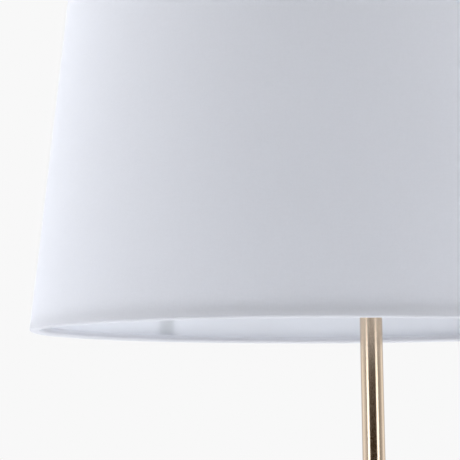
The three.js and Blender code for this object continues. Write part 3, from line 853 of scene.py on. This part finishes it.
def make_ring_nut():
    """The fluted nut that holds the fitter's ring under the skirt's flange."""
    low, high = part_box("shade_ring_nut")
    r, height = box_r("shade_ring_nut"), high[2] - low[2]
    bore = 20.0 * MM
    flutes = 12

    def fluting(radius, z, angle):
        share = max(0.0, (radius - bore - 3 * MM) / (r - bore - 3 * MM))
        return -share * 1.4 * MM * (0.5 - 0.5 * math.cos(flutes * angle)) ** 2, 0

    edge = 1.0 * MM
    profile = [
        (bore, 0.5 * MM), (bore + 0.5 * MM, 0), (r - edge, 0), *arc(r - edge, edge, edge, -75, 0, 5),
        *arc(r - edge, height - edge, edge, 0, 75, 5), (r - edge, height), (bore + 0.5 * MM, height),
        (bore, height - 0.5 * MM),
    ]
    nut = revolve("ring_nut", profile, 192, (HOLDER.x, HOLDER.y, low[2]), fluting)
    return piece_of(nut, "stand", ["shade_ring_nut"], BLACK)


EDISON_PITCH = 3.6 * MM


def make_screw_shell():
    """The thin threaded shell that the bulb screws into."""
    low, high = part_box("screw_shell")
    height = high[2] - low[2]
    wall_r = 13.95 * MM
    line = [(wall_r, i * MM / 3) for i in range(108)]
    line += [(wall_r, height - 3 * MM), *arc(wall_r - 1.5 * MM, height - 1.65 * MM, 1.5 * MM, 0, 90, 5)]
    line += [(8.5 * MM, height - 0.15 * MM)]
    thread = helix(EDISON_PITCH, 0.35 * MM, 0, 34 * MM, 13 * MM, 15 * MM)
    shell = revolve("thread_shell", sheet_profile(line, 0.3 * MM), 72, (HOLDER.x, HOLDER.y, low[2]), thread)
    return piece_of(shell, "stand", ["screw_shell"], BRIGHT)


def make_bulb():
    """Opal globe on a long neck, and its screw cap."""
    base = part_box("bulb_glass")[0][2]
    globe_r = box_r("bulb_glass") + 0.1 * MM
    centre = globe_r
    globe = arc(0, centre, globe_r - 0.5 * MM, -89.5, 30, 40)
    neck = [
        (22.6 * MM, centre + 24.5 * MM), (19.4 * MM, centre + 30 * MM), (16.6 * MM, centre + 35.2 * MM),
        (14.4 * MM, centre + 40 * MM), (12.9 * MM, centre + 44.6 * MM), (11.8 * MM, centre + 49 * MM),
        (11.2 * MM, centre + 54 * MM), (11.0 * MM, centre + 60 * MM), (11.0 * MM, centre + 67 * MM),
    ]
    flow = spline([Vector(point) for point in (globe[-1], *neck)], 6)
    profile = sheet_profile([(0, 0.5 * MM), *globe, *flow[1:]], 1 * MM)
    profile[0] = (0, profile[0][1])
    profile[-1] = (0, profile[-1][1])
    glass = revolve("bulb_globe", profile, 96, (HOLDER.x, HOLDER.y, base), smooth_angle=60)
    piece_of(glass, "bulb", ["bulb_glass"], OPAL)

    low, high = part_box("bulb_cap")
    r, height = box_r("bulb_cap") - 0.45 * MM, high[2] - low[2]
    straight = 23 * MM
    line = [(r - 0.1 * MM, 0.2 * MM)] + [(r, i * MM / 3) for i in range(1, 69)]
    line += [*arc(r - 1.6 * MM, straight, 1.6 * MM, 0, 60, 5), (7.9 * MM, height - 0.3 * MM)]
    thread = helix(EDISON_PITCH, 0.8 * MM, 2.5 * MM, straight - 0.5 * MM, r - 0.6 * MM, r + 0.6 * MM)
    cap = revolve("bulb_screw", sheet_profile(line, 0.35 * MM), 72, (HOLDER.x, HOLDER.y, low[2]), thread)
    piece_of(cap, "bulb", ["bulb_cap"], CAP_METAL)


def make_switch():
    """Rotary switch on the holder's side: threaded bush, nut, spindle and fluted knob."""
    centre = middle("switch_knob")
    start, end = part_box("switch_knob")[0][0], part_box("switch_knob")[1][0]
    knob_r, length, flutes = 8 * MM, end - start, 12

    def fluting(r, z, angle):
        grip = min(1.0, max(0.0, (z - 2.2 * MM) / (1.5 * MM))) * (r > 5 * MM)
        return -grip * 0.9 * MM * (0.5 - 0.5 * math.cos(flutes * angle)) ** 3 * r / knob_r, 0

    bore = 2.5 * MM
    edge = 2.2 * MM
    sides = [(knob_r - 0.35 * MM * i / 16, (2.4 + i * 0.9) * MM) for i in range(13)]
    profile = [
        (0, 9 * MM), (bore, 9 * MM), (bore, 0), (knob_r - 0.7 * MM, 0), (knob_r, 0.6 * MM),
        (knob_r, 1.7 * MM), (knob_r - 0.3 * MM, 2.1 * MM), *sides,
        *arc(knob_r - 0.35 * MM - edge, length - edge, edge, 8, 90, 8),
        (3.2 * MM, length - 0.25 * MM), (0, length - 0.4 * MM),
    ]
    knob = revolve("turn_knob", profile, 144, shift=fluting)
    lay(knob, "X", (start, centre.y, centre.z))
    piece_of(knob, "switch_knob", ["switch_knob"], BLACK)

    low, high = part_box("switch_spindle")
    r, length = 2.2 * MM, high[0] - low[0]
    chamfer = 0.3 * MM
    profile = [
        (0, 0), (r - chamfer, 0), (r, chamfer),
        (r, length - chamfer), (r - chamfer, length), (0, length),
    ]
    spindle = revolve("knob_spindle", profile, 48)
    lay(spindle, "X", (low[0], centre.y, centre.z))
    piece_of(spindle, "switch_knob", ["switch_spindle"], STEEL)

    low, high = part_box("switch_bush")
    r, bore, length = 4.2 * MM, 2.5 * MM, high[0] - low[0]
    turns = [(r, i * MM / 8) for i in range(4, int(length / MM * 8) - 3)]
    profile = [(bore, 0), (r - 0.4 * MM, 0), *turns, (r - 0.4 * MM, length), (bore, length)]
    thread = helix(0.75 * MM, 0.35 * MM, 0.5 * MM, length - 0.5 * MM, r - 0.01 * MM, r + 0.01 * MM)
    bush = revolve("switch_barrel", profile, 48, shift=thread)
    lay(bush, "X", (low[0], centre.y, centre.z))
    piece_of(bush, "stand", ["switch_bush"], BRIGHT)

    low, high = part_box("switch_nut")
    nut = hex_nut("switch_hex", 11 * MM, 4.4 * MM, high[0] - low[0])
    lay(nut, "X", (low[0], centre.y, centre.z))
    piece_of(nut, "stand", ["switch_nut"], BRIGHT)


def hex_nut(name, flats, bore, height):
    """A hexagon nut whose corners are chamfered at both ends."""
    def six(radius, z, angle):
        if radius < bore + 0.5 * MM:
            return 0, 0
        flat = flats / 2 / math.cos((angle + math.pi / 6) % (math.pi / 3) - math.pi / 6)
        return min(flat, radius) - radius, 0

    corner = flats / math.sqrt(3)
    chamfer = 0.5 * MM
    profile = [
        (bore, 0.3 * MM), (bore + 0.3 * MM, 0), (flats / 2 - 0.1 * MM, 0),
        (corner - 0.15 * MM, chamfer), (corner, chamfer),
        (corner, height - chamfer), (corner - 0.15 * MM, height - chamfer),
        (flats / 2 - 0.1 * MM, height), (bore + 0.3 * MM, height), (bore, height - 0.3 * MM),
    ]
    return revolve(name, profile, 96, shift=six, smooth_angle=25)


# ---------------------------------------------------------------- putting the pieces together

cloth = make_cover()
make_lining()
cloth_lap = make_cloth_lap()
lower_wire = make_ring("lower_wire", "bottom_ring", bottom_ring_r, bottom_wire_z)
upper_wire = make_ring("upper_wire", "top_ring", top_ring_r, top_wire_z)
make_fitter()
for number in (1, 2, 3):
    make_spoke(number, f"fitter_spoke_{number}")
for name in ("pole_lower", "pole_middle", "pole_upper"):
    make_pole_section(name)
for make in (make_crook, make_base_cover, make_base_pad, make_foot_collar, make_gland, make_holder_collar,
             make_holder_cup, make_holder_skirt, make_ring_nut, make_screw_shell, make_bulb, make_switch):
    make()

# ---------------------------------------------------------------- floor, world and lights

BACKGROUND = 0.939
FLOOR_R = 1.7
FADE_R = 0.4  # where the floor starts to fade


def make_floor():
    """Pale paper that fades into the background."""
    floor = revolve("floor", [(0, -0.02), (FLOOR_R, -0.02), (FLOOR_R, 0), (0, 0)], 128)
    n = Nodes("floor_paper")
    grain = n.noise(n.place(), 30.0, 3)
    paint = n.mix(grain, rgba(0.73, 0.73, 0.735), rgba(0.75, 0.75, 0.755))
    radius = n.around(0.0, 0.0)[2]
    fade = n.add("ShaderNodeMixShader")
    n.put(fade.inputs[0], n.ramp(radius, FADE_R, FLOOR_R, 0.0, 1.0))
    n.put(fade.inputs[1], n.principled(base_color=paint, roughness=0.85).outputs[0])
    n.put(fade.inputs[2], n.add("ShaderNodeBsdfTransparent").outputs[0])
    floor.data.materials.append(n.done(fade.outputs[0]))


DARK = 0.02  # the dim brown room behind the camera
DARK_TINT = (1.65, 0.85, 0.0)
WALL_TINT = (0.96, 0.985, 1.04)
# The studio's walls by the angle from the camera's side of the lamp, in degrees, positive to the
# camera's right, and how bright they are.
WALLS = (
    (-180, 0.8), (-150, 0.7), (-120, 1.3), (-95, 0.85), (-70, 0.4), (-45, DARK), (-22, DARK), (0, DARK),
    (22, DARK), (45, 0.4), (75, 0.5), (95, 1.0), (108, 1.4), (130, 0.8), (180, 0.8),
)
CEILING_BACK = rgba(0.45, 0.45, 0.45)
CEILING_FRONT = rgba(0.12, 0.12, 0.12)


def make_world():
    """The studio that the lamp reflects. The camera itself sees an even pale background."""
    world = bpy.data.worlds.new("studio")
    world.use_nodes = True
    bpy.context.scene.world = world
    n = Nodes(world)
    split = n.add("ShaderNodeSeparateXYZ")
    n.put(split.inputs[0], n.add("ShaderNodeTexCoord").outputs["Generated"])
    x, y, z = split.outputs
    toward = n.maths("ADD", n.maths("MULTIPLY", x, -forward.x), n.maths("MULTIPLY", y, -forward.y))
    aside = n.maths("ADD", n.maths("MULTIPLY", x, right.x), n.maths("MULTIPLY", y, right.y))
    turn = n.maths("ARCTAN2", aside, toward)
    walls = n.add("ShaderNodeValToRGB")
    n.put(walls.inputs[0], n.maths("ADD", n.maths("DIVIDE", turn, TAU), 0.5))
    stops = walls.color_ramp.elements
    while len(stops) < len(WALLS):
        stops.new(0.5)
    for stop, (degrees, value) in zip(stops, WALLS):
        stop.position = degrees / 360 + 0.5
        stop.color = rgba(*(value * tint for tint in (DARK_TINT if value == DARK else WALL_TINT)))
    overhead = n.ramp(z, 0.25, 0.7, 0.0, 1.0)
    room = n.add("ShaderNodeBackground")
    ceiling = n.mix(n.ramp(toward, -0.3, 0.3, 0.0, 1.0), CEILING_BACK, CEILING_FRONT)
    n.put(room.inputs[0], n.mix(overhead, walls.outputs[0], ceiling))
    seen = n.add("ShaderNodeBackground")
    seen.inputs[0].default_value = rgba(BACKGROUND, BACKGROUND, BACKGROUND)
    either = n.add("ShaderNodeMixShader")
    n.put(either.inputs[0], n.add("ShaderNodeLightPath").outputs["Is Camera Ray"])
    n.put(either.inputs[1], room.outputs[0])
    n.put(either.inputs[2], seen.outputs[0])
    n.done(either.outputs[0])


def area_light(name, place, target, size, radiance, color=(1, 1, 1)):
    """A soft box of the given width and height. radiance is how bright its face looks."""
    data = bpy.data.lights.new(name, "AREA")
    data.shape = "RECTANGLE"
    data.size, data.size_y = size
    data.energy = radiance * math.pi * size[0] * size[1]
    data.color = color
    light = bpy.data.objects.new(name, data)
    bpy.context.scene.collection.objects.link(light)
    light.location = place
    light.rotation_euler = (Vector(target) - Vector(place)).to_track_quat("-Z", "Y").to_euler()
    light.visible_camera = False
    return light


def around_pole(azimuth, distance, height):
    """A place at an angle from the pole's camera side, to the camera's right if positive."""
    turn = math.radians(azimuth)
    flat = (-forward * math.cos(turn) + right * math.sin(turn)) * distance
    return Vector((flat.x, flat.y, height))


STRIPS = (("left", -57, 2.5), ("right", 38, 2.15))  # name, azimuth and radiance
STRIP_DISTANCE, STRIP_HEIGHT, STRIP_SIZE = 2.0, 0.8, (0.72, 1.7)
COOL = (0.95, 1.0, 1.08)
# Name, azimuth, distance, height and radiance.
BOXES = (("right", 38, 1.8, 3.9, 8.5), ("far_left", -95, 2.2, 2.4, 8.8), ("far_right", 95, 2.2, 2.4, 2.0))
BOX_SIZE = (1.1, 1.1)
TOP_HEIGHT, TOP_SIZE, TOP_RADIANCE = 3.2, (1.2, 1.2), 12.0
BOUNCE_HEIGHT, BOUNCE_SIZE, BOUNCE_RADIANCE = 0.01, (2.4, 2.4), 1.25


def make_lights():
    """Two upright strips that the pole mirrors, soft boxes round and over the shade, and the light
    that a larger pale floor would throw back up."""
    for name, azimuth, radiance in STRIPS:
        place = around_pole(azimuth, STRIP_DISTANCE, STRIP_HEIGHT)
        area_light("strip_" + name, place, (0, 0, STRIP_HEIGHT), STRIP_SIZE, radiance, COOL)
    shade_middle = Vector((SHADE_X, SHADE_Y, (RIM_Z + SHADE_TOP_Z) / 2))
    for name, azimuth, distance, height, radiance in BOXES:
        area_light("box_" + name, around_pole(azimuth, distance, height), shade_middle, BOX_SIZE, radiance)
    area_light("top_box", (SHADE_X, SHADE_Y, TOP_HEIGHT), (SHADE_X, SHADE_Y, 0), TOP_SIZE, TOP_RADIANCE)
    bounce = area_light("floor_bounce", (0, 0, BOUNCE_HEIGHT), (0, 0, 1), BOUNCE_SIZE, BOUNCE_RADIANCE)
    bounce.visible_glossy = False


make_floor()
make_world()
make_lights()
bpy.context.scene.view_settings.view_transform = "Standard"
